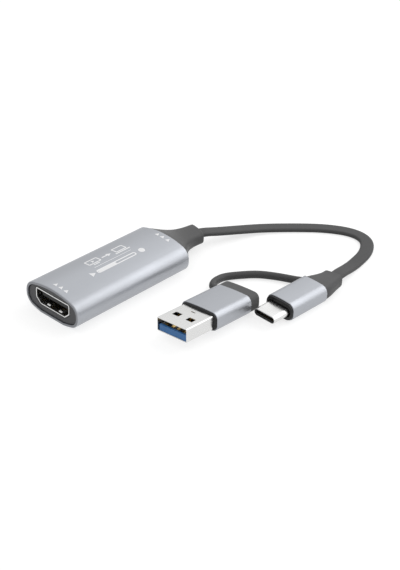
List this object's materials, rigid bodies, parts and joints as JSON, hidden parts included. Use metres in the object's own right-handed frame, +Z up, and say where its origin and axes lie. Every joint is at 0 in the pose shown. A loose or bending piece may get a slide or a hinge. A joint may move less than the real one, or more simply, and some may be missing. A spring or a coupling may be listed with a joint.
{
  "type": "video capture box",
  "caption": "Flat oval metal video capture box with a short flat cable to a type C plug and a tethered type A adapter.",
  "frame": {"origin": "on the surface the box lies on, under the middle of its aluminium shell", "axes": "+Y from the video socket towards the cable, +Z up from the surface, +X to the side the cable loops round to"},
  "size_m": [0.0646, 0.1102, 0.0108],
  "materials": {
    "grey_aluminium": "satin anodised, cool grey",
    "dark_plastic": "fine matt",
    "soft_grey": "satin, soft moulded",
    "cable_jacket": "satin, smooth",
    "bright_metal": "bright nickel plate",
    "black_plastic": "matt",
    "blue_plastic": "satin",
    "gold": "bright gold plate",
    "circuit_board": "satin lacquer",
    "chip_black": "matt",
    "ceramic": "matt",
    "wire_cover": "satin",
    "inner_mould": "matt"
  },
  "bodies": {
    "capture_box": {"outer_shell": "grey_aluminium", "front_bezel": "dark_plastic", "video_socket_shell": "bright_metal", "video_socket_contacts": "gold", "video_socket_insulator": "black_plastic", "main_board": "circuit_board", "capture_chip": "chip_black", "flash_chip": "chip_black", "crystal_can": "bright_metal", "regulator_chip": "chip_black", "power_inductor": "chip_black", "board_passives": "ceramic", "box_wires": "wire_cover", "box_cable_clamp": "bright_metal", "box_cable_stub": "cable_jacket", "rear_neck": "soft_grey"},
    "type_c_plug": {"main_cable": "cable_jacket", "type_c_neck": "soft_grey", "type_c_cable_stub": "cable_jacket", "type_c_wires": "wire_cover", "type_c_housing": "grey_aluminium", "type_c_insert": "dark_plastic", "type_c_plug_shell": "bright_metal", "type_c_lining": "black_plastic", "type_c_contacts": "gold", "type_c_board": "circuit_board", "type_c_board_parts": "chip_black", "type_c_mould": "inner_mould", "tether": "cable_jacket"},
    "adapter": {"adapter_housing": "grey_aluminium", "adapter_insert": "dark_plastic", "type_a_plug_shell": "bright_metal", "type_a_tongue": "blue_plastic", "type_a_contacts": "gold", "adapter_board": "circuit_board", "adapter_board_parts": "chip_black", "adapter_mould": "inner_mould", "adapter_rear_cap": "soft_grey", "adapter_socket_shell": "bright_metal", "adapter_socket_tongue": "black_plastic", "adapter_socket_contacts": "gold"}
  },
  "joints": [
    {"name": "cable_swing", "type": "hinge", "parent": "capture_box", "child": "type_c_plug", "pos_m": [0.0007, 0.04, 0.0046], "axis": [0, 0, 1], "range_deg": [-10, 25]},
    {"name": "adapter_swing", "type": "hinge", "parent": "type_c_plug", "child": "adapter", "pos_m": [0.02676, 0.02101, 0.00269], "axis": [0, 0, 1], "range_deg": [-15, 9]}
  ]
}
